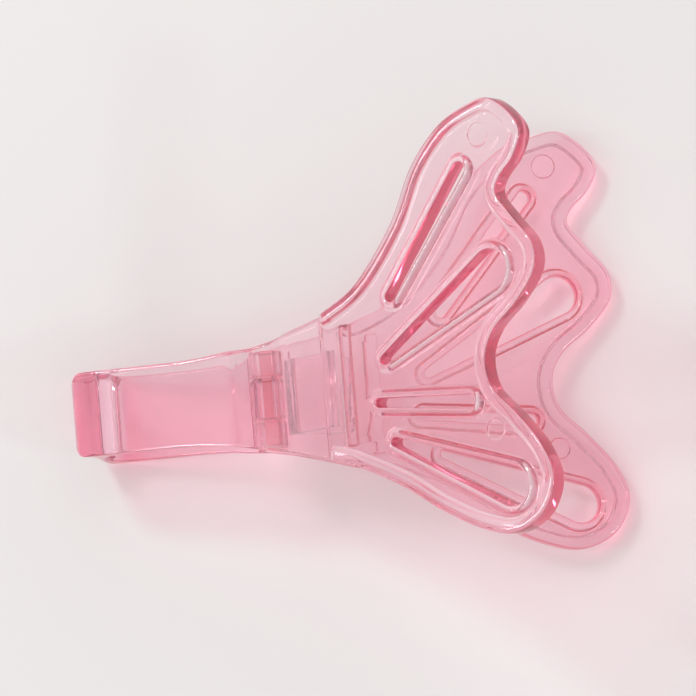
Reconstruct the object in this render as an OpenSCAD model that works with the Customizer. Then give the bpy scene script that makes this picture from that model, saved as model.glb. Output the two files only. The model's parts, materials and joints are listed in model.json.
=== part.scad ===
// Orchid clip with butterfly wings.
// Two mirror-image halves turn on a plastic pin. A bow spring between the wing
// roots holds the jaws shut around a flower stem and its stick.
//
// Each half is drawn about the hinge axis: X runs along the clip, with the nose
// at -X and the wings at +X, Y is the hinge axis, and Z points out of the half.
// The assembled clip then lies as it does on a table: on the nose of its lower
// jaw and the tips of its lower wings, with the middle of that footprint at the
// origin.

/* [Jaws] */
// Diameter of the round seat that the closed jaws leave for the stem
stem_d = 5.4; // [4.6:0.1:6.4]
// Wall of the jaw over the stem seat
jaw_wall = 1.2; // [0.9:0.1:1.6]
// Thickness of the nose wall where the jaws meet
nose_wall = 1.4; // [1:0.1:2]
// Distance from the hinge axis to the nose
jaw_reach = 13; // [12:0.5:16]
// Width of the jaw
jaw_w = 5.6; // [4.8:0.1:6]
// Radius of the rolled edge between jaw and nose
nose_round = 1.6; // [0.8:0.1:2]
// Radius of the nose corners, seen from above
nose_corner = 0.9; // [0.3:0.1:1.6]
// Gap between the two noses when the clip is shut
mouth_gap = 0.2; // [0.1:0.05:0.4]

/* [Waist and neck] */
// Width at the hinge axis
waist_w = 7; // [6.5:0.1:7.5]
// Plate thickness at the waist and neck
neck_t = 0.95; // [0.8:0.05:1.1]
// Flat length of the valley over the hinge
valley_l = 1.2; // [0.8:0.1:1.6]
// Length of the slope from the valley to the jaw
jaw_slope_l = 1.5; // [1.2:0.1:2.2]
// Length of the slope from the valley to the neck
neck_slope_l = 1.7; // [1.4:0.1:2]
// Rise of the neck over the valley
neck_rise = 1.0; // [0.7:0.1:1.3]
// Angle of the flat neck
neck_angle = 8; // [4:1:12]
// Distance from the hinge axis to the foot of the wing step
step_x = 4.4; // [4:0.1:5]
// Length of the wing step
step_l = 0.5; // [0.3:0.1:0.8]
// Height of the wing step
step_h = 0.7; // [0.4:0.1:0.9]
// Width at the wing step
neck_w = 9.8; // [9:0.1:10.4]
// Distance from the hinge axis to where the plate starts to widen
flare_x = 6; // [5:0.5:7]

/* [Wings] */
// Angle between the wing and the middle of the clip
wing_angle = 24; // [20:0.5:27]
// Length of the wing from its step
wing_l = 17.6; // [15:0.2:22]
// Reach of the fore wing beside the middle of the clip
fore_span = 16.9; // [15:0.1:18]
// Reach of the hind wing beside the middle of the clip
hind_span = 11.2; // [10.5:0.1:13]
// Thickness of the wing plate
wing_t = 1.1; // [0.9:0.05:1.3]
// Width of the raised bead along the wing's edge
bead_w = 0.9; // [0.6:0.1:1.2]
// Height of the raised beads over the wing plate
bead_h = 0.3; // [0.2:0.05:0.5]
// Width of the raised bead around each slot
slot_bead_w = 0.55; // [0.4:0.05:0.7]
// Height of the cross rib that stops the spring, inside the wing root
rib_h = 0.5; // [0.3:0.1:0.6]
// Thickness of the cross rib
rib_t = 0.8; // [0.6:0.1:1]
// Distance of the cross rib from the wing step
rib_at = 0.7; // [0.6:0.1:1.2]

/* [Hinge] */
// Diameter of the hinge pin
pin_d = 1.2; // [1:0.05:1.3]
// Wall of the hinge barrels around the pin
barrel_wall = 0.65; // [0.5:0.05:0.75]
// Length of the middle barrel, on the upper half
barrel_l = 2.6; // [2:0.1:3]
// Distance from the plate's edge to the outer face of each ear, on the lower half
ear_inset = 0.35; // [0.2:0.05:0.6]
// Radial play of the pin in the turning barrel
pin_play = 0.05; // [0.03:0.01:0.1]
// Radial play of the pin in the ears that hold it
pin_seat = 0.01; // [0.01:0.01:0.03]
// Side play between the barrel and the ears
side_play = 0.2; // [0.1:0.05:0.3]
// Gap between a barrel and the other half's plate
barrel_gap = 0.2; // [0.15:0.05:0.4]
// Half width of the web that joins a barrel to its plate
web_x = 0.9; // [0.6:0.1:1]
// Bevel on the ends of the pin
pin_bevel = 0.15; // [0.1:0.05:0.25]

/* [Spring] */
// Thickness of the spring strip
spring_t = 0.5; // [0.4:0.05:0.6]
// Width of the spring strip
spring_w = 5; // [4:0.1:5.4]
// Bend radius at the middle of the strip
spring_bend = 0.75; // [0.65:0.05:0.85]
// Radius of the bead at the end of each spring arm
spring_bead_r = 0.35; // [0.3:0.05:0.4]
// Gap between the spring and what it rests on
spring_gap = 0.05; // [0.03:0.01:0.1]

/* [Hidden] */

$fn = 64;

pink = [0.96, 0.55, 0.66, 0.6];
clear_pink = [0.98, 0.72, 0.78, 0.5];
clear = [0.93, 0.9, 0.93, 0.5];

// Depth by which joined solids run into each other, and cuts run past a face
lap = 0.4;
// Points on each slope and on each stretch of the wing's outline
slope_steps = 12;
curve_steps = 6;

stem_r = stem_d / 2;
jaw_h = stem_r + jaw_wall;
stem_x = jaw_reach - nose_wall - stem_r;

pin_r = pin_d / 2;
barrel_r = pin_r + barrel_wall;
valley_in = barrel_r + barrel_gap;
valley_out = valley_in + neck_t;
valley_x = valley_l / 2;
ear_y = barrel_l / 2 + side_play;
ear_l = waist_w / 2 - ear_inset - ear_y;
pin_l = 2 * (ear_y + ear_l);

neck_x = valley_x + neck_slope_l;
neck_out = valley_out + neck_rise;
step_foot = neck_out + (step_x - neck_x) * tan(neck_angle);

// Where the wing plate's outer face starts, and the wing's directions in X and Z
root = [step_x + step_l, step_foot + step_h];
along = [cos(wing_angle), sin(wing_angle)];
outwards = [-sin(wing_angle), cos(wing_angle)];
root_inner = root - wing_t * outwards;

// Outline of the wing, from the fore wing's root round the tips to the hind
// wing's root. Each pair is a share of wing_l and a share of the span beside it.
wing_shape = [
    [0.17, 0.38], [0.35, 0.58], [0.47, 0.79], [0.61, 0.93], [0.75, 0.99],
    [0.85, 1.00], [0.94, 0.93], [0.98, 0.85], [0.94, 0.76], [0.87, 0.69],
    [0.85, 0.63], [0.91, 0.54], [0.99, 0.43], [0.99, 0.32], [0.90, 0.21],
    [0.79, 0.12], [0.74, 0.02], [0.76, -0.15], [0.86, -0.32], [0.96, -0.52],
    [1.00, -0.72], [0.94, -0.91], [0.81, -1.00], [0.66, -0.95], [0.48, -0.81],
    [0.31, -0.64], [0.11, -0.49]
];

// Slots through the wing: the narrow end, the wide end, and the radius at each
slots = [
    [[0.33, 0.31], [0.69, 0.75], 0.35, 0.45],
    [[0.28, 0.07], [0.79, 0.35], 0.30, 1.30],
    [[0.24, -0.14], [0.65, -0.21], 0.30, 0.45],
    [[0.30, -0.38], [0.81, -0.73], 0.30, 1.30]
];

// A share of the wing's length and span as a place in the wing's plane
function on_wing(p) = [p[0] * wing_l, p[1] * (p[1] > 0 ? fore_span : hind_span)];

// A point of the smooth curve that passes from b to c, with neighbours a and d
function curve(a, b, c, d, t) =
    0.5 * (2 * b + (c - a) * t + (2 * a - 5 * b + 4 * c - d) * t * t
        + (3 * b - a - 3 * c + d) * t * t * t);

// A smooth open curve through a list of points
function smooth_line(p) = let (n = len(p) - 1) concat(
    [for (i = [0 : n - 1], k = [0 : curve_steps - 1])
        curve(p[max(i - 1, 0)], p[i], p[i + 1], p[min(i + 2, n)], k / curve_steps)],
    [p[n]]
);

// Ease from 0 to 1 with level ends
function ease(t) = t * t * (3 - 2 * t);

// A soft slope between two points of the side view
function slope(a, b) = [for (i = [0 : slope_steps]) let (t = i / slope_steps)
    [a[0] + (b[0] - a[0]) * t, a[1] + (b[1] - a[1]) * ease(t)]];

// Points on an arc
function arc(c, r, from, to) = [for (i = [0 : slope_steps])
    let (a = from + (to - from) * i / slope_steps) c + r * [cos(a), sin(a)]];

// The same curve moved to its right-hand side by a distance
function beside(p, d) = let (n = len(p) - 1) [for (i = [0 : n])
    let (t = p[min(i + 1, n)] - p[max(i - 1, 0)]) p[i] + d * [t[1], -t[0]] / norm(t)];

wing_edge = smooth_line(concat(
    [[0, neck_w / 2]],
    [for (p = wing_shape) on_wing(p)],
    [[0, -neck_w / 2]]
));

// Half the plate's width at a distance from the hinge axis: straight along the
// jaw, then widening as a power of the distance from flare_x
flare_power = ln((neck_w - jaw_w) / (waist_w - jaw_w)) / ln((flare_x + root[0]) / flare_x);
function half_width(x) = jaw_w / 2
    + (waist_w - jaw_w) / 2 * pow(max(x + flare_x, 0) / flare_x, flare_power);

// Lying attitude: the line under the rolled nose and the wing tips is level
tip_w = max([for (p = wing_edge) p[0]]);
tip = root + tip_w * along + bead_h * outwards;
tip_inner = root + tip_w * along - wing_t * outwards;
nose_centre = [-jaw_reach + nose_round, jaw_h - nose_round];
nose_to_tip = tip - nose_centre;
tilt = atan2(nose_to_tip[1], nose_to_tip[0]) - asin(nose_round / norm(nose_to_tip));
hinge_z = nose_round + nose_centre[1] * cos(tilt) - nose_centre[0] * sin(tilt);

// Middle of the footprint, measured from the hinge axis
back_x = nose_centre[0] * cos(tilt) - nose_centre[1] * sin(tilt) - nose_round;
front_x = tip_inner[0] * cos(tilt) + tip_inner[1] * sin(tilt);
middle_x = (back_x + front_x) / 2;
middle_y = (max([for (p = wing_edge) p[1]]) + min([for (p = wing_edge) p[1]])) / 2;

// Extrude a side view, drawn in X and Z, across a width centred on the clip
module across(w) {
    translate([0, w / 2, 0]) rotate([90, 0, 0]) linear_extrude(height = w) children();
}

// Outer side view of jaw, waist and neck, closed along the meeting plane
module outer_side_view() {
    polygon(concat(
        [[-jaw_reach, mouth_gap / 2]],
        arc(nose_centre, nose_round, 180, 90),
        slope([-valley_x - jaw_slope_l, jaw_h], [-valley_x, valley_out]),
        slope([valley_x, valley_out], [neck_x, neck_out]),
        [[step_x, step_foot], root, root + lap * along, root_inner + lap * along],
        [[root_inner[0] + lap, mouth_gap / 2]]
    ));
}

// Space inside jaw, waist and neck, behind the round stem seat
module inner_side_view() {
    polygon(concat(
        [[-stem_x, -lap], [-stem_x, stem_r]],
        slope([-valley_x - jaw_slope_l, stem_r], [-valley_x, valley_in]),
        slope([valley_x, valley_in], [neck_x, neck_out - neck_t]),
        [[step_x, step_foot - neck_t], root_inner, root_inner + 2 * lap * along],
        [[root_inner[0] + 2 * lap, -lap]]
    ));
}

// Jaw, waist and neck seen from above
module plan_view() {
    end_x = root[0] + lap;
    flare = [for (i = [0 : 2 * slope_steps])
        let (x = -flare_x + (end_x + flare_x) * i / (2 * slope_steps)) [x, half_width(x)]];
    corner = [-jaw_reach + nose_corner, jaw_w / 2 - nose_corner];
    edge = concat(arc(corner, nose_corner, 180, 90), flare);
    polygon(concat(edge, [for (i = [len(edge) - 1 : -1 : 0]) [edge[i][0], -edge[i][1]]]));
}

module jaw_and_neck() {
    intersection() {
        linear_extrude(height = 2 * jaw_h) plan_view();
        difference() {
            across(2 * neck_w) outer_side_view();
            across(3 * neck_w) inner_side_view();
            translate([-stem_x, 0, 0]) rotate([90, 0, 0])
                cylinder(r = stem_r, h = 3 * neck_w, center = true);
        }
    }
}

// A slot that widens from one round end to the other
module tapered_slot(slot, grow = 0) {
    a = on_wing(slot[0]);
    b = on_wing(slot[1]);
    ra = slot[2] + grow;
    rb = slot[3] + grow;
    heading = atan2(b[1] - a[1], b[0] - a[0]);
    side = acos((ra - rb) / norm(b - a));
    polygon(concat(
        arc(a, ra, heading + side, heading + 360 - side),
        arc(b, rb, heading - side, heading + side)
    ));
}

// Place something drawn flat in the wing's plane, with the outer face at Z = 0
module in_wing_plane() {
    translate([root[0], 0, root[1]]) rotate([0, -wing_angle, 0]) children();
}

// Wing plate with raised beads along its edge and around its slots
module wings() {
    in_wing_plane() difference() {
        translate([0, 0, -wing_t]) linear_extrude(height = wing_t + bead_h) difference() {
            polygon(wing_edge);
            for (slot = slots) tapered_slot(slot);
        }
        linear_extrude(height = bead_h + lap) difference() {
            polygon(concat(
                [[-lap, neck_w / 2 - bead_w]],
                beside(wing_edge, bead_w),
                [[-lap, bead_w - neck_w / 2]]
            ));
            for (slot = slots) tapered_slot(slot, slot_bead_w);
        }
    }
}

// Rib across the inside of the wing root that stops the spring's bead
module spring_rib() {
    rib_l = neck_w - 2 * bead_w;
    in_wing_plane() translate([rib_at, -rib_l / 2, -wing_t - rib_h])
        cube([rib_t, rib_l, rib_h + wing_t / 2]);
}

// Hinge barrel with the web that joins it to the plate, from y = 0 to y = length
module barrel(length, play) {
    rotate([-90, 0, 0]) difference() {
        union() {
            cylinder(r = barrel_r, h = length);
            translate([-web_x, -valley_in - neck_t / 2, 0])
                cube([2 * web_x, valley_in + neck_t / 2, length]);
        }
        translate([0, 0, -lap]) cylinder(r = pin_r + play, h = length + 2 * lap);
    }
}

// One plain half, without its barrels
module shell() {
    jaw_and_neck();
    wings();
    spring_rib();
}

// Set the clip down as it lies: tilted, with its footprint centred on the origin
module lying() {
    translate([-middle_x, -middle_y, hinge_z]) rotate([0, -tilt, 0]) children();
}

module upper_half() {
    color(pink) lying() union() {
        shell();
        translate([0, -barrel_l / 2, 0]) barrel(barrel_l, pin_play);
    }
}

module lower_half() {
    color(clear_pink) lying() mirror([0, 0, 1]) union() {
        shell();
        for (y = [ear_y, -ear_y - ear_l]) translate([0, y, 0]) barrel(ear_l, pin_seat);
    }
}

module hinge_pin() {
    color(clear) lying() rotate([90, 0, 0]) rotate_extrude() polygon([
        [0, -pin_l / 2], [pin_r - pin_bevel, -pin_l / 2], [pin_r, pin_bevel - pin_l / 2],
        [pin_r, pin_l / 2 - pin_bevel], [pin_r - pin_bevel, pin_l / 2], [0, pin_l / 2]
    ]);
}

// Bow spring: a strip bent round a short arc, whose two arms spread to beads
// that bear on the slope just inside each wing root
module bow_spring() {
    bend_x = barrel_r + barrel_gap + spring_bend + spring_t / 2;
    seat_from = [step_x, step_foot - neck_t];
    seat_dir = (root_inner - seat_from) / norm(root_inner - seat_from);
    seat = (seat_from + root_inner) / 2;
    bead = seat + (spring_bead_r + spring_gap) * [seat_dir[1], -seat_dir[0]];
    reach = norm([bead[0] - bend_x, bead[1]]);
    arm_angle = atan2(bead[1], bead[0] - bend_x) - asin(spring_bend / reach);
    arm_l = sqrt(reach * reach - spring_bend * spring_bend);
    outer_r = spring_bend + spring_t / 2;
    arm_lap = 0.1;
    color(clear) lying() across(spring_w) {
        translate([bend_x, 0]) difference() {
            circle(r = outer_r);
            circle(r = spring_bend - spring_t / 2);
            polygon([
                [0, 0], 2 * outer_r * [-sin(arm_angle), cos(arm_angle)],
                [3 * outer_r, 3 * outer_r], [3 * outer_r, -3 * outer_r],
                2 * outer_r * [-sin(arm_angle), -cos(arm_angle)]
            ]);
        }
        for (s = [1, -1]) {
            translate([bend_x, 0]) rotate(s * arm_angle)
                translate([-arm_lap, s * spring_bend - spring_t / 2])
                    square([arm_l + arm_lap, spring_t]);
            translate([bead[0], s * bead[1]]) circle(r = spring_bead_r);
        }
    }
}

lower_half();
upper_half();
hinge_pin();
bow_spring();
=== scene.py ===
"""Orchid clip in clear pink plastic, dressed around its packed CAD frame.

Sizes are in millimetres, as on the real clip. Each half is worked out about its
hinge axis, with X along the clip and Z out of the half, and is then laid down as
the clip lies on a table. Every mesh ends up in metres, in the frame of the CAD.
"""
from contextlib import contextmanager
import json
import math

import bmesh
import bpy
import numpy as np
from mathutils import Matrix, Vector
from mathutils.geometry import tessellate_polygon


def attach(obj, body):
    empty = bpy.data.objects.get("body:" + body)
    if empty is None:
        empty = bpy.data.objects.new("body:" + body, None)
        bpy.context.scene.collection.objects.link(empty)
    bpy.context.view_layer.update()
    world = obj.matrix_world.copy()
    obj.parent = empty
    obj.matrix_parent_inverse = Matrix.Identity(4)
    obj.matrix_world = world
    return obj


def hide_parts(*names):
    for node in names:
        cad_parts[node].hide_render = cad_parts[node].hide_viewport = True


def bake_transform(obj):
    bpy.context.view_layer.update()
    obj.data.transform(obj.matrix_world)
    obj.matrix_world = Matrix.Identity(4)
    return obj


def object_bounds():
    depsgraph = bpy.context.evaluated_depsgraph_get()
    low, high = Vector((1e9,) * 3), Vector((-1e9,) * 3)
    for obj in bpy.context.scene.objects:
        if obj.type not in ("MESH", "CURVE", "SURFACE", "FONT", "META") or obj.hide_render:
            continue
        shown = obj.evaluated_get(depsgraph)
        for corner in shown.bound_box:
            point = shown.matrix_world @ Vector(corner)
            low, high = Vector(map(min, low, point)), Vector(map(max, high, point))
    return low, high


bl_info = {
    "name": "Orchid Clip",
    "version": (1, 0, 0),
    "blender": (4, 5, 0),
    "location": "View3D > Sidebar > Orchid Clip",
    "description": "Builds a clear pink butterfly clip for orchid stems, with its pin and spring",
    "category": "Add Mesh",
}

MM = 0.001
# Pieces that are to be one reach this far into each other, in mm
WELD = 0.03
# Points of one mesh that are closer than this, in metres, become one: after a
# union, and along a seam that is meant to be shut
SLIT = 5e-7
SEAM = 1e-7

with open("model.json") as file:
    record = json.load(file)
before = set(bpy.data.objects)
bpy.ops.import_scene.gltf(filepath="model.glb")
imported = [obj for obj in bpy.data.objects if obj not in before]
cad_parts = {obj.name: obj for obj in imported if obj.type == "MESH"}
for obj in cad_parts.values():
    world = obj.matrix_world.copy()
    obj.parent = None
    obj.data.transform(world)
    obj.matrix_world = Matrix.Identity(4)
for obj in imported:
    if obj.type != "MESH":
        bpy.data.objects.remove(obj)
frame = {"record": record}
CAD_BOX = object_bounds()

# The hinge and the stem seat give the clip's place and the tilt it lies at.
HINGE = np.array(frame["record"]["behaviour"]["joints"][0]["pos_m"]) / MM
SEAT = np.array(frame["record"]["mounts"][0]["pos_m"]) / MM
TILT = math.atan2(HINGE[2] - SEAT[2], HINGE[0] - SEAT[0])


# ---------------------------------------------------------------- sizes and colours

def mm(name, default, description):
    """A size in millimetres, which Blender has no unit for."""
    return bpy.props.FloatProperty(
        name=name, default=default, min=0.0, description=description + ", in mm")


def hex_rgb(code):
    """Linear colour of an sRGB hex value: each channel c is c/12.92 up to 0.04045,
    and ((c + 0.055) / 1.055) to the power 2.4 above it."""
    part = np.array([int(code[i:i + 2], 16) for i in (1, 3, 5)]) / 255
    return tuple(np.where(part <= 0.04045, part / 12.92, ((part + 0.055) / 1.055) ** 2.4))


def tint(name, code, description):
    """A colour that starts from an sRGB hex value."""
    return bpy.props.FloatVectorProperty(
        name=name, subtype="COLOR", size=3, min=0.0, max=1.0,
        default=hex_rgb(code), description=description)


class ClipJawSizes(bpy.types.PropertyGroup):
    """Jaw, waist and neck of both halves."""
    stem_r: mm("Stem seat", 2.7, "Radius of the round seat that the shut jaws leave")
    wall: mm("Jaw wall", 1.2, "Wall of the jaw over the stem seat")
    nose_wall: mm("Nose wall", 1.4, "Thickness of the nose where the jaws meet")
    reach: mm("Reach", 13.0, "From the hinge axis to the nose")
    width: mm("Width", 5.6, "Width of the jaw")
    nose_round: mm("Nose round", 1.6, "Radius of the rolled edge between jaw and nose")
    nose_corner: mm("Nose corner", 0.9, "Radius of the nose corners, from above")
    mouth_gap: mm("Mouth gap", 0.2, "Gap between the noses of the shut clip")
    waist_w: mm("Waist width", 7.0, "Width at the hinge axis")
    neck_t: mm("Neck plate", 0.95, "Plate thickness at waist and neck")
    valley_l: mm("Valley", 1.2, "Flat length of the valley over the hinge")
    jaw_slope_l: mm("Jaw slope", 1.5, "Length of the slope from valley to jaw")
    neck_slope_l: mm("Neck slope", 1.7, "Length of the slope from valley to neck")
    neck_rise: mm("Neck rise", 1.0, "Rise of the neck over the valley")
    neck_angle: bpy.props.FloatProperty(
        name="Neck angle", subtype="ANGLE", default=math.radians(8),
        description="Slope of the neck")
    step_x: mm("Step foot", 4.4, "From the hinge axis to the foot of the wing step")
    step_l: mm("Step length", 0.5, "Length of the wing step")
    step_h: mm("Step height", 0.7, "Height of the wing step")
    neck_w: mm("Neck width", 9.8, "Width at the wing step")
    flare_x: mm("Flare start", 6.0, "From the hinge axis to where the plate widens")
    edge_r: mm("Edge radius", 0.2, "Rounding of the plate's moulded edges")


class ClipWingSizes(bpy.types.PropertyGroup):
    """Wing plate with its beads, slots, marks and rib."""
    angle: bpy.props.FloatProperty(
        name="Wing angle", subtype="ANGLE", default=math.radians(24),
        description="Between the wing and the middle of the clip")
    length: mm("Length", 17.6, "Length of the wing from its step")
    fore_span: mm("Fore span", 16.9, "Reach of the fore wing")
    hind_span: mm("Hind span", 11.2, "Reach of the hind wing")
    plate_t: mm("Plate", 1.1, "Thickness of the wing plate")
    bead_w: mm("Edge bead width", 0.9, "Width of the raised bead along the edge")
    bead_h: mm("Bead height", 0.3, "Height of the raised beads")
    slot_bead_w: mm("Slot bead width", 0.55, "Width of the bead around each slot")
    edge_r: mm("Edge radius", 0.24, "Rounding of the wing's moulded edges")
    mark_depth: mm("Mark depth", 0.12, "Depth of the round ejector marks")
    rib_h: mm("Rib height", 0.5, "Height of the rib that stops the spring")
    rib_t: mm("Rib thickness", 0.8, "Thickness of that rib")
    rib_at: mm("Rib place", 0.7, "From the wing step to the rib")


class ClipHingeSizes(bpy.types.PropertyGroup):
    """Pin, barrels and bow spring."""
    pin_r: mm("Pin radius", 0.6, "Radius of the hinge pin")
    barrel_wall: mm("Barrel wall", 0.65, "Wall of the barrels round the pin")
    barrel_l: mm("Barrel length", 2.6, "Length of the middle barrel")
    ear_inset: mm("Ear inset", 0.35, "From the plate's edge to each ear's outer face")
    side_play: mm("Side play", 0.2, "Side play between barrel and ears")
    barrel_gap: mm("Barrel gap", 0.2, "Gap between a barrel and the other half")
    pin_play: mm("Pin play", 0.05, "Radial play of the pin in the barrel")
    pin_seat: mm("Pin seat", 0.01, "Radial play of the pin in the ears")
    web_x: mm("Web", 0.9, "Half width of the web behind a barrel")
    bevel: mm("Barrel bevel", 0.12, "Bevel on the ends of the barrels")
    pin_bevel: mm("Pin bevel", 0.15, "Bevel on the ends of the pin")
    spring_t: mm("Spring strip", 0.5, "Thickness of the spring strip")
    spring_w: mm("Spring width", 5.0, "Width of the spring strip")
    spring_bend: mm("Spring bend", 0.75, "Bend radius at the middle of the strip")
    spring_bead_r: mm("Spring bead", 0.35, "Radius of the bead on each arm")
    spring_edge_r: mm("Spring edge", 0.1, "Rounding of the strip's long edges")
    spring_gap: mm("Spring gap", 0.05, "Gap between spring and plate")


class ClipColours(bpy.types.PropertyGroup):
    """Tints of the plastics and the stage."""
    pink_face: tint("Pink face", "#FFF3F5", "Tint of the pink plastic's flat faces")
    # The pink wall tint is a painted glow, put on steep walls in place of light carried inside the
    # plate
    pink_wall_painted_glow: tint("Pink wall", "#F8768F",
                    "Tint of light that has run inside the plate and leaves by a steep wall")
    pink_shadow: tint("Pink shadow", "#E4CAD2",
                      "What a lamp's light keeps at each face of the plastic")
    pink_depth: tint("Pink depth", "#FEE0EC",
                     "What white light keeps after 3 mm of the pink plastic")
    clear_face: tint("Clear face", "#FDF6F8", "Tint of the pin's and the spring's faces")
    clear_depth: tint("Clear depth", "#FBF1F4",
                      "What white light keeps after 3 mm of the pin, or 2.5 mm of the spring")
    floor: tint("Floor", "#E6E3E2", "Pale table")


# ---------------------------------------------------------------- curves in arrays

# Outline of the wing, from the fore wing's root round the tips to the hind wing's
# root: shares of the wing's length and of the span beside it.
WING_SHAPE = (
    (0.17, 0.38), (0.35, 0.58), (0.47, 0.79), (0.61, 0.93), (0.75, 0.99),
    (0.85, 1.00), (0.94, 0.93), (0.98, 0.85), (0.94, 0.76), (0.87, 0.69),
    (0.85, 0.63), (0.91, 0.54), (0.99, 0.43), (0.99, 0.32), (0.90, 0.21),
    (0.79, 0.12), (0.74, 0.02), (0.76, -0.15), (0.86, -0.32), (0.96, -0.52),
    (1.00, -0.72), (0.94, -0.91), (0.81, -1.00), (0.66, -0.95), (0.48, -0.81),
    (0.31, -0.64), (0.11, -0.49),
)
# Slots: narrow end, wide end, and the radius at each in millimetres
SLOTS = (
    ((0.33, 0.31), (0.69, 0.75), 0.35, 0.45),
    ((0.28, 0.07), (0.79, 0.35), 0.30, 1.30),
    ((0.24, -0.14), (0.65, -0.21), 0.30, 0.45),
    ((0.30, -0.38), (0.81, -0.73), 0.30, 1.30),
)
# Round ejector marks: place in the same shares, and radius in millimetres
MARKS = (((0.78, 0.87), 0.85), ((0.75, -0.39), 0.76))


def on_wing(points, wing):
    """Shares of the wing's length and span as places in the wing's plane, in mm."""
    p = np.atleast_2d(np.array(points, float))
    span = np.where(p[:, 1] > 0, wing.fore_span, wing.hind_span)
    return np.stack([p[:, 0] * wing.length, p[:, 1] * span], axis=1)


def smooth_line(points, steps):
    """Open curve through points. Between b and c, with neighbours a and d, it is
    the cubic (2b + (c-a)t + (2a-5b+4c-d)t^2 + (3b-a-3c+d)t^3) / 2."""
    p = np.asarray(points, float)
    i = np.arange(len(p) - 1)
    a, b, c, d = (p[np.clip(i + k, 0, len(p) - 1)][:, None] for k in (-1, 0, 1, 2))
    t = (np.arange(steps) / steps)[None, :, None]
    rows = (2 * b + (c - a) * t + (2 * a - 5 * b + 4 * c - d) * t ** 2
            + (3 * b - a - 3 * c + d) * t ** 3) / 2
    return np.vstack([rows.reshape(-1, p.shape[1]), p[-1:]])


def right_normals(curve):
    """Unit normals on the right-hand side of an open flat curve, from the chord
    through each point's two neighbours."""
    padded = np.vstack([curve[:1], curve, curve[-1:]])
    chord = padded[2:] - padded[:-2]
    chord = chord / np.linalg.norm(chord, axis=1, keepdims=True)
    return np.stack([chord[:, 1], -chord[:, 0]], axis=1)


def ease(t):
    """Ease from 0 to 1 with level ends: 3t^2 - 2t^3."""
    return t * t * (3 - 2 * t)


def arc(centre, radius, start, end, steps):
    """Points at centre + radius (cos a, sin a), with a in radians from start to end."""
    a = np.linspace(start, end, steps + 1)
    return np.asarray(centre) + radius * np.stack([np.cos(a), np.sin(a)], axis=1)


def soft_slope(start, end, steps):
    """Points whose first coordinate runs evenly and whose second one eases."""
    t = np.linspace(0, 1, steps + 1)
    return np.stack([start[0] + (end[0] - start[0]) * t,
                     start[1] + (end[1] - start[1]) * ease(t)], axis=1)


def slot_loop(slot, grow, wing, steps=16):
    """Outline of a slot, grown by a distance: an arc round each end, joined by the
    two lines that touch both circles."""
    a, b = on_wing(slot[:2], wing)
    ra, rb = slot[2] + grow, slot[3] + grow
    run = b - a
    heading = math.atan2(run[1], run[0])
    side = math.acos((ra - rb) / np.linalg.norm(run))
    return np.vstack([arc(a, ra, heading + side, heading + 2 * math.pi - side, steps),
                      arc(b, rb, heading - side, heading + side, steps)])


# ---------------------------------------------------------------- mesh helpers

@contextmanager
def editable(mesh):
    """An editable copy of a mesh, which goes back into the mesh at the end."""
    bm = bmesh.new()
    bm.from_mesh(mesh)
    yield bm
    bm.to_mesh(mesh)
    bm.free()


class Shell:
    """A mesh in the making: rows of points and the faces between them."""

    def __init__(self):
        self.points = []
        self.faces = []
        self.count = 0

    def add(self, points):
        """Add points and return their numbers, in the same array shape."""
        points = np.asarray(points, float)
        flat = points.reshape(-1, 3)
        numbers = np.arange(len(flat)) + self.count
        self.points.append(flat)
        self.count += len(flat)
        return numbers.reshape(points.shape[:-1])

    def grid(self, numbers, wrap_rows=False, wrap_columns=False):
        """Quads between neighbouring rows and columns of a grid of point numbers."""
        n = numbers
        if wrap_rows:
            n = np.vstack([n, n[:1]])
        if wrap_columns:
            n = np.hstack([n, n[:, :1]])
        quads = np.stack([n[:-1, :-1], n[1:, :-1], n[1:, 1:], n[:-1, 1:]], axis=-1)
        self.faces += quads.reshape(-1, 4).tolist()

    def fill(self, loops, flat_loops):
        """Triangles over a flat face with holes: point numbers, and places in the plane."""
        numbers = np.concatenate(loops)
        lines = [[Vector((p[0], p[1], 0)) for p in flat] for flat in flat_loops]
        self.faces += [[int(numbers[k]) for k in tri] for tri in tessellate_polygon(lines)]

    def face(self, numbers):
        """One face round a loop of point numbers."""
        self.faces.append([int(k) for k in numbers])

    def mesh(self, name, place):
        """The finished mesh in metres, with place giving each point's spot in the frame."""
        mesh = bpy.data.meshes.new(name)
        mesh.from_pydata(place(np.vstack(self.points)).tolist(), [], self.faces)
        with editable(mesh) as bm:
            bmesh.ops.recalc_face_normals(bm, faces=bm.faces)
        return mesh


def lay(points, side=1):
    """Set points of one half down on the table: mirror the lower half in Z, turn by
    the tilt about the hinge axis, and move to the hinge. Millimetres to metres."""
    x, y, z = points[:, 0], points[:, 1], points[:, 2] * side
    c, s = math.cos(TILT), math.sin(TILT)
    return (np.stack([x * c - z * s, y, x * s + z * c], axis=1) + HINGE) * MM


def new_object(name, data):
    """An object in the scene for a mesh, a lamp or a camera."""
    obj = bpy.data.objects.new(name, data)
    bpy.context.scene.collection.objects.link(obj)
    return obj


def joined(name, meshes):
    """One closed mesh from several that run into each other."""
    base = new_object(name, meshes[0])
    others = [new_object(name + "_add", mesh) for mesh in meshes[1:]]
    for other in others:
        union = base.modifiers.new("union", "BOOLEAN")
        union.operation = "UNION"
        union.solver = "EXACT"
        union.object = other
    graph = bpy.context.evaluated_depsgraph_get()
    result = bpy.data.meshes.new_from_object(base.evaluated_get(graph))
    # Close the hair-thin slits that the union leaves where faces nearly coincide
    with editable(result) as bm:
        bmesh.ops.triangulate(bm, faces=bm.faces)
        bmesh.ops.remove_doubles(bm, verts=bm.verts, dist=SLIT)
        bmesh.ops.dissolve_degenerate(bm, edges=bm.edges, dist=SEAM)
    base.modifiers.clear()
    base.data = result
    result.name = name
    for other in others:
        spent = other.data
        bpy.data.objects.remove(other)
        bpy.data.meshes.remove(spent)
    return base


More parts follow.
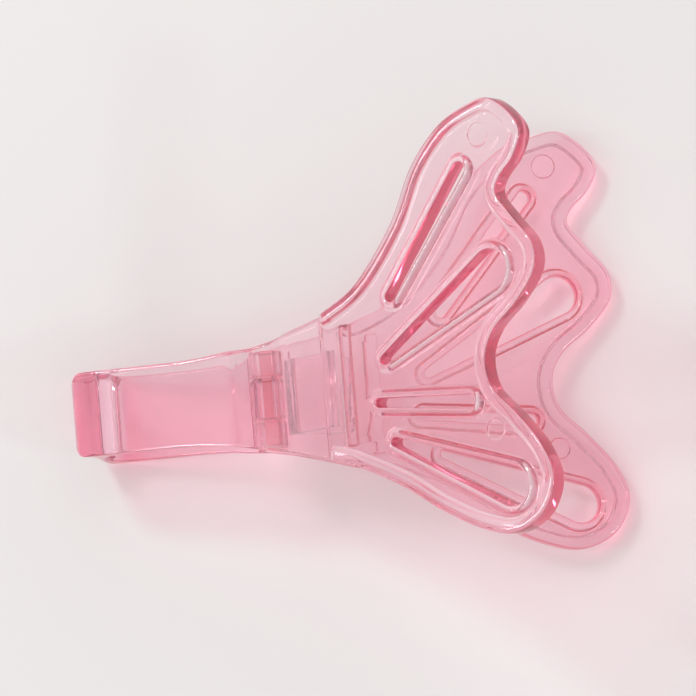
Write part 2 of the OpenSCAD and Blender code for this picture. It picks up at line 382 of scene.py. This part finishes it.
def mark_painted_glow_walls(obj, plan, side):
    """Store how steep each point's surface stands on its plate, as an attribute that masks the
    painted glow on steep walls.

    It is 1 - |n . f|, with n the surface normal and f the plate's own. On the wing,
    f is the wing's normal. On jaw and neck, whose faces run level across the clip,
    it is n without its part along Y."""
    mesh = obj.data
    count = len(mesh.vertices)
    place, normal = np.empty(count * 3), np.empty(count * 3)
    mesh.vertices.foreach_get("co", place)
    mesh.vertex_normals.foreach_get("vector", normal)
    place = place.reshape(-1, 3) / MM - HINGE
    normal = normal.reshape(-1, 3)
    c, s = math.cos(TILT), math.sin(TILT)
    x = place[:, 0] * c + place[:, 2] * s
    n_x = normal[:, 0] * c + normal[:, 2] * s
    n_z = (normal[:, 2] * c - normal[:, 0] * s) * side
    on_wing_plate = np.abs(n_x * plan.outwards[0] + n_z * plan.outwards[1])
    on_neck = np.hypot(n_x, n_z)
    facing = np.where(x > plan.neck_x, on_wing_plate, on_neck)
    mesh.attributes.new("painted_glow_steepness", "FLOAT", "POINT").data.foreach_set("value", 1 - facing)


def finish_edges(obj, crease=math.radians(38)):
    """Smooth shading that keeps creases crisp and flat faces flat."""
    obj.data.shade_smooth()
    obj.data.set_sharp_from_angle(angle=crease)
    even = obj.modifiers.new("flat faces stay flat", "WEIGHTED_NORMAL")
    even.keep_sharp = True
    even.weight = 100


# ---------------------------------------------------------------- the two halves

class HalfPlan:
    """What jaw, neck and wing of a half share, in mm about the hinge axis."""

    def __init__(self, jaw, wing, hinge):
        self.jaw, self.wing, self.hinge = jaw, wing, hinge
        self.barrel_r = hinge.pin_r + hinge.barrel_wall
        self.valley_in = self.barrel_r + hinge.barrel_gap
        self.valley_out = self.valley_in + jaw.neck_t
        self.valley_x = jaw.valley_l / 2
        self.jaw_h = jaw.stem_r + jaw.wall
        self.stem_x = jaw.reach - jaw.nose_wall - jaw.stem_r
        self.neck_x = self.valley_x + jaw.neck_slope_l
        self.neck_out = self.valley_out + jaw.neck_rise
        self.step_foot = self.neck_out + (jaw.step_x - self.neck_x) * math.tan(jaw.neck_angle)
        self.along = np.array([math.cos(wing.angle), math.sin(wing.angle)])
        self.outwards = np.array([-math.sin(wing.angle), math.cos(wing.angle)])
        self.root = np.array([jaw.step_x + jaw.step_l, self.step_foot + jaw.step_h])
        self.root_inner = self.root - wing.plate_t * self.outwards
        self.ear_y = hinge.barrel_l / 2 + hinge.side_play
        self.ear_l = jaw.waist_w / 2 - hinge.ear_inset - self.ear_y
        if self.ear_l <= 0:
            raise ValueError("The middle barrel leaves no room for the ears beside it")

    def half_width(self, x):
        """Half the plate's width: straight along the jaw, then widening as a power
        of the distance from the flare, with the nose corners rounded off."""
        jaw = self.jaw
        power = (math.log((jaw.neck_w - jaw.width) / (jaw.waist_w - jaw.width))
                 / math.log((jaw.flare_x + self.root[0]) / jaw.flare_x))
        from_flare = np.clip(np.minimum(x, self.root[0]) + jaw.flare_x, 0, None)
        wide = (jaw.width + (jaw.waist_w - jaw.width) * (from_flare / jaw.flare_x) ** power) / 2
        into = np.clip(jaw.nose_corner - jaw.reach - x, 0, jaw.nose_corner)
        return wide - jaw.nose_corner + np.sqrt(jaw.nose_corner ** 2 - into ** 2)

    def in_wing_plane(self, w, y, h):
        """Places w along the wing, y beside the middle and h over its outer face."""
        w, y, h = np.broadcast_arrays(w, y, h)
        x = self.root[0] + w * self.along[0] + h * self.outwards[0]
        z = self.root[1] + w * self.along[1] + h * self.outwards[1]
        return np.stack([x, y, z], axis=-1)


def plate_stations(plan):
    """Outer and inner side view of jaw, waist and neck, as matching rows of (x, z).

    Round the nose, rays from the middle of the stem seat meet the seat's circle
    and the outer side: the nose wall, then the rolled corner's circle, then the
    jaw's flat. Behind it both sides follow the same soft slopes."""
    # Rows round the stem seat, along the jaw behind it, and on each slope
    seat_rows, jaw_rows, slope_rows = 30, 3, 14
    # How far the neck's end reaches into the wing plate
    lap = 0.5
    jaw = plan.jaw
    seat = np.array([-plan.stem_x, 0.0])
    low = math.asin(jaw.mouth_gap / 2 / jaw.stem_r)
    a = np.linspace(low, math.pi / 2, seat_rows)
    ray = np.stack([-np.cos(a), np.sin(a)], axis=1)
    inner = [seat + jaw.stem_r * ray]
    inner[0][0, 1] = jaw.mouth_gap / 2
    corner = np.array([jaw.nose_round - jaw.reach, plan.jaw_h - jaw.nose_round]) - seat
    wall = (jaw.reach - plan.stem_x) / np.maximum(np.cos(a), 1e-9)
    flat = plan.jaw_h / np.sin(a)
    toward = ray @ corner
    rolled = toward + np.sqrt(np.maximum(toward ** 2 - corner @ corner + jaw.nose_round ** 2, 0))
    meets_wall = wall * np.sin(a) < corner[1]
    meets_flat = flat * np.cos(a) < -corner[0]
    far = np.where(meets_wall, wall, np.where(meets_flat, flat, rolled))
    outer = [seat + far[:, None] * ray]
    outer[0][0, 1] = jaw.mouth_gap / 2
    slope_from = -plan.valley_x - jaw.jaw_slope_l
    run = np.linspace(-plan.stem_x, slope_from, jaw_rows + 2)[1:-1]
    for rows, top, valley, drop in ((outer, plan.jaw_h, plan.valley_out, 0),
                                    (inner, jaw.stem_r, plan.valley_in, jaw.neck_t)):
        neck = (plan.neck_x, plan.neck_out - drop)
        rows.append(np.stack([run, np.full(jaw_rows, top)], axis=1))
        rows.append(soft_slope((slope_from, top), (-plan.valley_x, valley), slope_rows))
        rows.append(soft_slope((plan.valley_x, valley), neck, slope_rows))
        rows.append(np.array([[jaw.step_x, plan.step_foot - drop]]))
    for rows, root, into in ((outer, plan.root, -WELD), (inner, plan.root_inner, WELD)):
        rows += [root[None], (root + lap * plan.along + into * plan.outwards)[None]]
    return np.vstack(outer), np.vstack(inner)


def jaw_and_neck(plan, side):
    """Jaw, waist and neck: a rounded rectangle carried along the plate. Across the
    plate each point lies at a share of the way from the inner to the outer side."""
    outer, inner = plate_stations(plan)
    thick = np.linalg.norm(outer - inner, axis=1)
    r = plan.jaw.edge_r
    turn = np.linspace(0, math.pi / 2, 6)
    # One quarter of the section: distance from the side edge, depth from the face
    from_side = r * (1 - np.sin(turn))
    depth = r * (1 - np.cos(turn))
    shell = Shell()
    rows = []
    # Each side edge has a quarter at the outer face and one at the inner face
    for sign, near_outer in ((1, True), (1, False), (-1, False), (-1, True)):
        order = slice(None) if near_outer == (sign > 0) else slice(None, None, -1)
        for inset, deep in zip(from_side[order], depth[order]):
            share = deep / thick
            share = 1 - share if near_outer else share
            xz = inner + (outer - inner) * share[:, None]
            y = sign * (plan.half_width(xz[:, 0]) - inset)
            # The end inside the wing stays clear of the wing's own side faces
            y[-2:] -= sign * WELD
            rows.append(np.stack([xz[:, 0], y, xz[:, 1]], axis=1))
    numbers = shell.add(np.stack(rows, axis=1))
    shell.grid(numbers, wrap_columns=True)
    shell.face(numbers[0])
    shell.face(numbers[-1][::-1])
    return shell.mesh("jaw_and_neck", lambda p: lay(p, side))


def bead_profile(width, height, edge_r, plate_t):
    """From the plate's outer face over a domed bead, round the edge and under to
    the inner face: distances from the edge, and heights over the outer face. The
    bead rises with the ease curve, and the edge is two quarter circles."""
    # The rise starts a fillet's width before the bead and runs on into it
    fillet = 0.12
    rise_l = 3.2 * fillet
    # Level strip between the curves and the flat faces
    margin = 0.06
    up = np.linspace(0, 1, 7)
    rise_d = width + fillet - rise_l * up
    rise_h = height * ease(up)
    turn = np.linspace(0, math.pi / 2, 7)
    outer_d, outer_h = edge_r * (1 - np.sin(turn)), height - edge_r * (1 - np.cos(turn))
    under_d, under_h = edge_r * (1 - np.cos(turn)), edge_r * (1 - np.sin(turn)) - plate_t
    d = np.concatenate([[rise_d[0] + margin], rise_d, outer_d, under_d, [edge_r + margin]])
    h = np.concatenate([[0.0], rise_h, outer_h, under_h, [-plate_t]])
    return d, h


def wing_plate(plan, side):
    """Wing: the bead's profile carried along the outline and round each slot, with
    flat faces between them and a cap where the wing meets its step."""
    wing, jaw = plan.wing, plan.jaw
    half = jaw.neck_w / 2
    outline = smooth_line(np.vstack([[[0, half]], on_wing(WING_SHAPE, wing), [[0, -half]]]), 14)
    inwards = right_normals(outline)
    shell = Shell()

    def carried(at_distance, distances, heights, closed):
        """Carry a profile along the line that at_distance gives for each distance."""
        loops = np.stack([at_distance(d) for d in distances], axis=1)
        if not closed:
            loops[[0, -1], :, 0] = 0.0
        numbers = shell.add(plan.in_wing_plane(loops[..., 0], loops[..., 1], heights[None, :]))
        shell.grid(numbers, wrap_rows=closed)
        return numbers, loops

    d, h = bead_profile(wing.bead_w, wing.bead_h, wing.edge_r, wing.plate_t)
    edge, flat = carried(lambda k: outline + k * inwards, d, h, False)
    face_loops, face_flats = [edge[:, 0]], [flat[:, 0]]
    back_loops, back_flats = [edge[:, -1]], [flat[:, -1]]
    shell.face(np.concatenate([edge[0], edge[-1][::-1]]))

    d, h = bead_profile(wing.slot_bead_w, wing.bead_h, wing.edge_r, wing.plate_t)
    for slot in SLOTS:
        numbers, flat = carried(lambda k: slot_loop(slot, k, wing), d, h, True)
        face_loops.append(numbers[:, 0])
        face_flats.append(flat[:, 0])
        back_loops.append(numbers[:, -1])
        back_flats.append(flat[:, -1])

    # A mark's wall slopes over this width, with a level strip on either side
    slope, strip = 0.12, 0.05
    sink = np.linspace(0, 1, 4)
    around = np.linspace(0, 2 * math.pi, 40, endpoint=False)
    circle = np.stack([np.cos(around), np.sin(around)], axis=1)
    for place, radius in MARKS:
        centre = on_wing(place, wing)[0]
        reach = np.concatenate([[radius + strip], radius - slope * sink, [radius - slope - strip]])
        drop = -wing.mark_depth * ease(np.concatenate([[0], sink, [1]]))
        numbers, flat = carried(lambda k: centre + k * circle, reach, drop, True)
        face_loops.append(numbers[:, 0])
        face_flats.append(flat[:, 0])
        shell.face(numbers[:, -1])

    shell.fill(face_loops, face_flats)
    shell.fill(back_loops, back_flats)
    return shell.mesh("wing_plate", lambda p: lay(p, side))


def carried_across(outline, inset_outline, y_from, y_to, bevel, place, name, hole=None):
    """A side-view outline in (x, z) carried along Y, with bevelled ends and, where a
    hole's outline is given, a hole from end to end."""
    shell = Shell()
    stops = ((inset_outline, y_from), (outline, y_from + bevel),
             (outline, y_to - bevel), (inset_outline, y_to))
    rows = [np.stack([o[:, 0], np.full(len(o), y), o[:, 1]], axis=1) for o, y in stops]
    numbers = shell.add(np.stack(rows))
    shell.grid(numbers, wrap_columns=True)
    if hole is None:
        shell.face(numbers[0])
        shell.face(numbers[-1])
    else:
        ends = shell.add(np.stack([
            np.stack([hole[:, 0], np.full(len(hole), y), hole[:, 1]], axis=1)
            for y in (y_from, y_to)]))
        shell.grid(ends, wrap_columns=True)
        for end in (0, -1):
            shell.fill([numbers[end], ends[end]], [inset_outline, hole])
    return shell.mesh(name, place)


def barrel(plan, y_from, length, play, side):
    """Hinge barrel: a circle whose upper part runs up into the plate as a web."""
    hinge = plan.hinge
    top = plan.valley_in + plan.jaw.neck_t / 2

    def keyhole(inset):
        """The barrel's outline from its end, set in by a distance."""
        r, x = plan.barrel_r - inset, hinge.web_x - inset
        start = math.acos(x / r)
        round_part = arc((0, 0), r, start, -math.pi - start, 40)
        return np.vstack([[[x, top]], round_part, [[-x, top]]])

    hole = arc((0, 0), hinge.pin_r + play, 0, 2 * math.pi, 48)[:-1]
    return carried_across(keyhole(0), keyhole(hinge.bevel), y_from, y_from + length,
                          hinge.bevel, lambda p: lay(p, side), "barrel", hole)


def spring_rib(plan, side):
    """Rib across the inside of the wing root, with a rounded crest."""
    wing = plan.wing
    half = (plan.jaw.neck_w - 2 * wing.bead_w) / 2
    # Rounding of the crest, and how far its ends are set in and bevelled
    r = 0.2
    end_inset, end_bevel = 0.1, 0.12

    def outline(inset):
        """The rib's outline from its end, set in by a distance."""
        t, crest = wing.rib_t - 2 * inset, -wing.plate_t - wing.rib_h + inset
        left = wing.rib_at + inset
        w_h = np.vstack([
            [[left, -wing.plate_t / 2]], arc((left + r, crest + r), r, math.pi, 1.5 * math.pi, 6),
            arc((left + t - r, crest + r), r, 1.5 * math.pi, 2 * math.pi, 6),
            [[left + t, -wing.plate_t / 2]]])
        return plan.in_wing_plane(w_h[:, 0], 0.0, w_h[:, 1])[:, [0, 2]]

    return carried_across(outline(0), outline(end_inset), -half, half, end_bevel,
                          lambda p: lay(p, side), "spring_rib")


def build_half(plan, name, side, barrels):
    """One moulded half with its barrels, each given by its start, length and play."""
    parts = [jaw_and_neck(plan, side), wing_plate(plan, side), spring_rib(plan, side)]
    parts += [barrel(plan, y, length, play, side) for y, length, play in barrels]
    half = joined(name, parts)
    mark_painted_glow_walls(half, plan, side)
    finish_edges(half)
    return half


# ---------------------------------------------------------------- pin and spring

def build_pin(plan):
    """Pin: a bevelled profile of radius and place, turned about the hinge axis. A
    point in the middle of each end closes it."""
    hinge = plan.hinge
    half = plan.ear_y + plan.ear_l
    r, b = hinge.pin_r, hinge.pin_bevel
    profile = np.array([[r - b, -half], [r, b - half], [r, -half / 3],
                        [r, half / 3], [r, half - b], [r - b, half]])
    radius, along, a = np.broadcast_arrays(
        profile[:, :1], profile[:, 1:], np.linspace(0, 2 * math.pi, 64, endpoint=False)[None, :])
    shell = Shell()
    numbers = shell.add(np.stack([radius * np.cos(a), along, radius * np.sin(a)], axis=-1))
    shell.grid(numbers, wrap_columns=True)
    for row, y in ((0, -half), (-1, half)):
        pole = shell.add(np.array([[0, y, 0]]))[0]
        rim = numbers[row]
        shell.faces += np.stack([rim, np.roll(rim, -1), np.full(len(rim), pole)], axis=1).tolist()
    pin = new_object("hinge_pin_turned", shell.mesh("hinge_pin_turned", lay))
    finish_edges(pin)
    return pin


def spring_line(plan):
    """Middle line of the spring in the side view: a bend about a point behind the
    barrel, and two straight arms that leave it as tangents and end in the beads.
    Returns the upper bead's middle, the upper arm's angle and the bend's points."""
    jaw, hinge = plan.jaw, plan.hinge
    bend_x = plan.barrel_r + hinge.barrel_gap + hinge.spring_bend + hinge.spring_t / 2
    start = np.array([jaw.step_x, plan.step_foot - jaw.neck_t])
    way = (plan.root_inner - start) / np.linalg.norm(plan.root_inner - start)
    seat = (start + plan.root_inner) / 2
    bead = seat + (hinge.spring_bead_r + hinge.spring_gap) * np.array([way[1], -way[0]])
    run = bead - [bend_x, 0]
    reach = np.linalg.norm(run)
    arm = math.atan2(run[1], run[0]) - math.asin(hinge.spring_bend / reach)
    bend = arc((bend_x, 0), hinge.spring_bend, math.pi / 2 + arm, 1.5 * math.pi - arm, 28)
    return bead, arm, bend


def build_spring(plan):
    """Bow spring: a strip whose half thickness follows its middle line, swelling to
    the circle of a bead at each end. Its long edges are rounded off."""
    # Rows along each bead and each arm, and the least share of the thickness that
    # the rounding leaves
    bead_rows, arm_rows, thinnest = 24, 26, 0.3
    hinge = plan.hinge
    bead, arm, bend = spring_line(plan)
    r, edge_r = hinge.spring_bead_r, hinge.spring_edge_r
    way = np.array([math.cos(arm), math.sin(arm)])
    # From the tip of the upper bead, down its arm and round the bend
    tip = bead + r * np.sin(np.linspace(math.pi / 2, -math.pi / 2, bead_rows))[:, None] * way
    neck = bead - r * way
    top_arm = neck + np.linspace(0, 1, arm_rows)[:, None] * (bend[0] - neck)
    upper = np.vstack([tip[:-1], top_arm[:-1]])
    line = np.vstack([upper, bend, (upper * [1, -1])[::-1]])
    from_bead = np.minimum(np.linalg.norm(line - bead, axis=1),
                           np.linalg.norm(line - bead * [1, -1], axis=1))
    round_half = np.sqrt(np.maximum(r ** 2 - from_bead ** 2, 0))
    # The outer half of each bead has no strip inside it
    outer_half = np.zeros(len(line), bool)
    outer_half[:bead_rows // 2] = True
    outer_half[-(bead_rows // 2):] = True
    thick = np.where(outer_half, round_half, np.maximum(round_half, hinge.spring_t / 2))
    normal = right_normals(line)
    shell = Shell()
    turn = np.linspace(0, math.pi / 2, 4)
    # Places across the strip, and how much thinner each side is there
    half = hinge.spring_w / 2
    stops = [(edge_r * (1 - math.cos(k)) - half, edge_r * (1 - math.sin(k))) for k in turn]
    stops += [(-y, inset) for y, inset in stops[::-1]]
    rows = []
    for y, inset in stops:
        t = np.maximum(thick - inset, thick * thinnest)[:, None]
        loop = np.vstack([line + normal * t, (line - normal * t)[::-1]])
        rows.append(np.stack([loop[:, 0], np.full(len(loop), y), loop[:, 1]], axis=1))
    numbers = shell.add(np.stack(rows))
    shell.grid(numbers, wrap_columns=True)
    n = len(line)
    for end in (0, -1):
        loop = numbers[end]
        shell.grid(np.stack([loop[:n], loop[n:][::-1]]))
    mesh = shell.mesh("bow_spring_strip", lay)
    with editable(mesh) as bm:
        bmesh.ops.remove_doubles(bm, verts=bm.verts, dist=SEAM)
        bmesh.ops.recalc_face_normals(bm, faces=bm.faces)
    spring = new_object("bow_spring_strip", mesh)
    finish_edges(spring)
    return spring


# ---------------------------------------------------------------- materials

def add_node(tree, kind, settings=None, **links):
    """Add a node. settings holds its properties, and each link is an input's value,
    or the output socket that feeds it. An input goes by its name, with _ for each
    space, or by its number, as in i0."""
    node = tree.nodes.new(kind)
    for key, value in (settings or {}).items():
        setattr(node, key, value)
    for key, value in links.items():
        numbered = key[0] == "i" and key[1:].isdigit()
        socket = node.inputs[int(key[1:]) if numbered else key.replace("_", " ")]
        if isinstance(value, bpy.types.NodeSocket):
            tree.links.new(value, socket)
        else:
            socket.default_value = value
    return node


def rgba(colour):
    """A colour with full alpha."""
    return (*colour, 1.0)


def per_metre(colour, depth_mm):
    """Absorption colour and density that leave a given colour after a depth. Light
    falls as exp(-density (1 - colour) depth), so each channel's loss is -ln(colour).
    The density is 2 % over the greatest loss, which keeps each channel above black."""
    darkest, headroom = 1e-4, 1.02
    loss = -np.log(np.maximum(np.array(colour), darkest)) / (depth_mm * MM)
    density = float(loss.max()) * headroom
    return rgba(tuple(1 - loss / density)), density


def moulded_clear(name, face, depth, depth_mm, roughness, shadow, wall=None):
    """Clear plastic, injection moulded and polished by its mould. It bends what lies
    behind it, and its faces are gently wavy from shrinkage, with faint flow lines
    that run along the clip from the jaw. Steep walls get a painted glow: the tint of
    wall is painted on them in place of light that has run far inside the plate, and
    they let less light through, so that more of that pink shows. Lamps shine through
    it in part, so its shadow is light and tinted.

    face and shadow are tints, wall is the tint of the painted glow, and depth is what
    white light keeps after depth_mm inside. The share of light let through is 0.93,
    and 0.84 at the walls, where the painted glow is. Pin and spring have the same
    skin, without the tint of wall."""
    let_in, let_in_at_glow_walls = 0.93, 0.84
    # Between the 1.49 of acrylic and the 1.59 of styrene and polycarbonate
    bending = 1.54
    material = bpy.data.materials.new(name)
    material.use_nodes = True
    tree = material.node_tree
    tree.nodes.clear()
    where = add_node(tree, "ShaderNodeTexCoord")
    # Shrinkage waves about 4 mm apart and up to 0.06 mm high
    waves = add_node(tree, "ShaderNodeTexNoise", Vector=where.outputs["Object"],
                     Scale=1 / (4 * MM), Detail=1.0, Roughness=0.4)
    # Flow lines, drawn 0.9 mm apart because finer ones don't show, and 12 times as
    # long along X as they are apart
    drawn = add_node(tree, "ShaderNodeMapping", Vector=where.outputs["Object"], Scale=(0.08, 1, 1))
    flow = add_node(tree, "ShaderNodeTexNoise", Vector=drawn.outputs[0],
                    Scale=1 / (0.9 * MM), Detail=2.0, Roughness=0.5)
    wavy = add_node(tree, "ShaderNodeBump", Height=waves.outputs[0],
                    Strength=0.25, Distance=0.06 * MM)
    lined = add_node(tree, "ShaderNodeBump", Height=flow.outputs[0], Normal=wavy.outputs[0],
                     Strength=0.12, Distance=0.02 * MM)
    # Handling haze in patches about 6 mm across
    haze = add_node(tree, "ShaderNodeTexNoise", Vector=where.outputs["Object"],
                    Scale=1 / (6 * MM), Detail=4.0, Roughness=0.6)
    gloss = add_node(tree, "ShaderNodeMapRange", Value=haze.outputs[0], From_Min=0.35,
                     From_Max=0.7, To_Min=roughness * 0.6, To_Max=roughness * 1.6)
    skin = add_node(tree, "ShaderNodeBsdfPrincipled", Base_Color=rgba(face),
                    Roughness=gloss.outputs[0], IOR=bending, Transmission_Weight=let_in,
                    Normal=lined.outputs[0])
    if wall is not None:
        # Painted glow: steep walls get the wall tint in place of the face tint, standing in for
        # light carried inside the plate
        steep = add_node(tree, "ShaderNodeAttribute", {"attribute_name": "painted_glow_steepness"})
        share = add_node(tree, "ShaderNodeMapRange", {"interpolation_type": "SMOOTHSTEP"},
                         Value=steep.outputs["Fac"], From_Min=0.04, From_Max=0.7)
        # Inputs 6 and 7 of a Mix node are its two colours
        painted_glow_tint = add_node(tree, "ShaderNodeMix", {"data_type": "RGBA"}, Factor=share.outputs[0],
                            i6=rgba(face), i7=rgba(wall))
        tree.links.new(painted_glow_tint.outputs[2], skin.inputs["Base Color"])
        # Steep walls also let less light through, so more of the wall tint shows: painted glow
        clear = add_node(tree, "ShaderNodeMapRange", Value=share.outputs[0],
                         To_Min=let_in, To_Max=let_in_at_glow_walls)
        tree.links.new(clear.outputs[0], skin.inputs["Transmission Weight"])
    colour, density = per_metre(depth, depth_mm)
    body = add_node(tree, "ShaderNodeVolumeAbsorption", Color=colour, Density=density)
    let_through = add_node(tree, "ShaderNodeBsdfTransparent", Color=rgba(shadow))
    path = add_node(tree, "ShaderNodeLightPath")
    look = add_node(tree, "ShaderNodeMixShader", i0=path.outputs["Is Shadow Ray"],
                    i1=skin.outputs[0], i2=let_through.outputs[0])
    add_node(tree, "ShaderNodeOutputMaterial", Surface=look.outputs[0], Volume=body.outputs[0])
    return material


def table_paint(name, colour):
    """Painted matt board, rolled on. Its rough skin shows no reflection."""
    material = bpy.data.materials.new(name)
    material.use_nodes = True
    skin = material.node_tree.nodes["Principled BSDF"]
    skin.inputs["Base Color"].default_value = rgba(colour)
    skin.inputs["Roughness"].default_value = 0.85
    skin.inputs["Specular IOR Level"].default_value = 0.2
    return material


# ---------------------------------------------------------------- operators

def plan_of(scene):
    """The plan that the scene's present sizes give."""
    return HalfPlan(scene.clip_jaw, scene.clip_wing, scene.clip_hinge)


class CLIP_OT_halves(bpy.types.Operator):
    """Build both moulded halves with their wings, jaws and hinge barrels"""
    bl_idname = "clip.halves"
    bl_label = "Clip Halves"

    def execute(self, context):
        scene = context.scene
        plan = plan_of(scene)
        hinge = scene.clip_hinge
        colours = scene.clip_colours
        pink = moulded_clear(
            "moulded_pink_styrene", colours.pink_face, colours.pink_depth, depth_mm=3.0,
            roughness=0.035, shadow=colours.pink_shadow, wall=colours.pink_wall_painted_glow)
        middle = [(-hinge.barrel_l / 2, hinge.barrel_l, hinge.pin_play)]
        ears = [(y, plan.ear_l, hinge.pin_seat) for y in (plan.ear_y, -plan.ear_y - plan.ear_l)]
        upper = build_half(plan, "upper_half_moulded", 1, middle)
        lower = build_half(plan, "lower_half_moulded", -1, ears)
        for piece, node, body, slot in ((upper, "upper_half", "upper", "upper_plastic"),
                                        (lower, "lower_half", "lower", "lower_plastic")):
            piece.data.materials.clear()
            piece.data.materials.append(pink)
            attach(piece, body)
            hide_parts(node)
        return {"FINISHED"}


class CLIP_OT_pin(bpy.types.Operator):
    """Build the hinge pin"""
    bl_idname = "clip.pin"
    bl_label = "Hinge Pin"

    def execute(self, context):
        colours = context.scene.clip_colours
        pin = build_pin(plan_of(context.scene))
        pin.data.materials.append(moulded_clear(
            "extruded_clear_acrylic", colours.clear_face, colours.clear_depth, depth_mm=3.0,
            roughness=0.05, shadow=colours.pink_shadow))
        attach(pin, "lower")
        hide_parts("hinge_pin")
        return {"FINISHED"}


class CLIP_OT_spring(bpy.types.Operator):
    """Build the bow spring between the wing roots"""
    bl_idname = "clip.spring"
    bl_label = "Bow Spring"

    def execute(self, context):
        colours = context.scene.clip_colours
        plan = plan_of(context.scene)
        spring = build_spring(plan)
        spring.data.materials.append(moulded_clear(
            "clear_polycarbonate_strip", colours.clear_face, colours.clear_depth, depth_mm=2.5,
            roughness=0.06, shadow=colours.pink_shadow))
        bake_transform(spring)
        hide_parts("bow_spring")
        return {"FINISHED"}


class CLIP_OT_stage(bpy.types.Operator):
    """Set up the pale table, the soft light and the camera"""
    bl_idname = "clip.stage"
    bl_label = "Stage"

    def execute(self, context):
        scene = context.scene
        low, high = (np.array(corner) for corner in CAD_BOX)
        middle = Vector((low + high) / 2)
        # Table of 1.2 m a side, a hair under the clip so that no faces coincide
        reach = 0.6
        ground = low[2] - 0.02 * MM
        mesh = bpy.data.meshes.new("table")
        mesh.from_pydata([(-reach, -reach, ground), (reach, -reach, ground),
                          (reach, reach, ground), (-reach, reach, ground)], [], [(0, 1, 2, 3)])
        table = new_object("table", mesh)
        mesh.materials.append(table_paint("matt_board", scene.clip_colours.floor))

        world = bpy.data.worlds.new("soft_tent")
        world.use_nodes = True
        back = world.node_tree.nodes["Background"]
        back.inputs["Color"].default_value = (1.0, 1.0, 1.0, 1.0)
        back.inputs["Strength"].default_value = 0.66
        # Paths find an even tent by themselves. Sampled as a lamp too, its light
        # through the clear plastic would be weighed wrongly
        world.cycles.sampling_method = "NONE"
        scene.world = world

        # Place and size in metres, power in watts
        for name, place, size, power in (
                ("key_lamp", (-0.20, 0.22, 0.34), (0.07, 0.07), 0.62),
                ("left_strip", (-0.36, 0.00, 0.27), (0.03, 0.30), 0.35),
                ("right_lamp", (0.30, -0.12, 0.30), (0.06, 0.06), 0.20)):
            lamp = bpy.data.lights.new(name, "AREA")
            lamp.shape = "RECTANGLE"
            lamp.size, lamp.size_y = size
            lamp.energy = power
            holder = new_object(name, lamp)
            holder.location = place
            holder.rotation_euler = (middle - holder.location).to_track_quat("-Z", "Y").to_euler()

        # The view is almost straight down on the clip, whose length rises by 4.8
        # degrees to the right. The lens leans 6 degrees towards the bottom, and lean
        # is the tangent of that. Lengths are in metres.
        turn = math.radians(-4.8)
        lean = 0.105
        distance = 0.45
        view_width = 0.046
        aim = Vector((0.0002, 0.0, 0.008))
        right = Vector((math.cos(turn), math.sin(turn), 0))
        up = Vector((-math.sin(turn), math.cos(turn), 0))
        back_way = (Vector((0, 0, 1)) - lean * up).normalized()
        x_axis = (right - right.dot(back_way) * back_way).normalized()
        y_axis = back_way.cross(x_axis)
        camera = bpy.data.cameras.new("camera")
        camera.sensor_fit = "HORIZONTAL"
        camera.lens = camera.sensor_width * distance / view_width
        eye = new_object("camera", camera)
        rotation = Matrix((x_axis, y_axis, back_way)).transposed()
        eye.matrix_world = Matrix.Translation(aim + distance * back_way) @ rotation.to_4x4()
        scene.camera = eye
        scene.view_settings.view_transform = "Standard"
        # Light is trapped in a clear plate for many bounces before it leaves an edge
        scene.cycles.max_bounces = 24
        scene.cycles.transmission_bounces = 24
        scene.cycles.glossy_bounces = 8
        return {"FINISHED"}


class CLIP_PT_panel(bpy.types.Panel):
    """Lists the clip's pieces and its stage"""
    bl_idname = "CLIP_PT_panel"
    bl_label = "Orchid Clip"
    bl_space_type = "VIEW_3D"
    bl_region_type = "UI"
    bl_category = "Orchid Clip"

    def draw(self, context):
        for operator in OPERATORS:
            self.layout.operator(operator.bl_idname)
        for group in GROUPS:
            box = self.layout.box()
            box.label(text=group[1].__doc__)
            settings = getattr(context.scene, group[0])
            for key in group[1].__annotations__:
                box.prop(settings, key)


GROUPS = (("clip_jaw", ClipJawSizes), ("clip_wing", ClipWingSizes),
          ("clip_hinge", ClipHingeSizes), ("clip_colours", ClipColours))
OPERATORS = (CLIP_OT_halves, CLIP_OT_pin, CLIP_OT_spring, CLIP_OT_stage)


def register():
    for name, group in GROUPS:
        bpy.utils.register_class(group)
        setattr(bpy.types.Scene, name, bpy.props.PointerProperty(type=group))
    for operator in OPERATORS:
        bpy.utils.register_class(operator)
    bpy.utils.register_class(CLIP_PT_panel)


def unregister():
    bpy.utils.unregister_class(CLIP_PT_panel)
    for operator in reversed(OPERATORS):
        bpy.utils.unregister_class(operator)
    for name, group in reversed(GROUPS):
        delattr(bpy.types.Scene, name)
        bpy.utils.unregister_class(group)


def main():
    """Build the clip and its stage."""
    register()
    bpy.ops.clip.halves()
    bpy.ops.clip.pin()
    bpy.ops.clip.spring()
    bpy.ops.clip.stage()


if __name__ == "__main__":
    main()
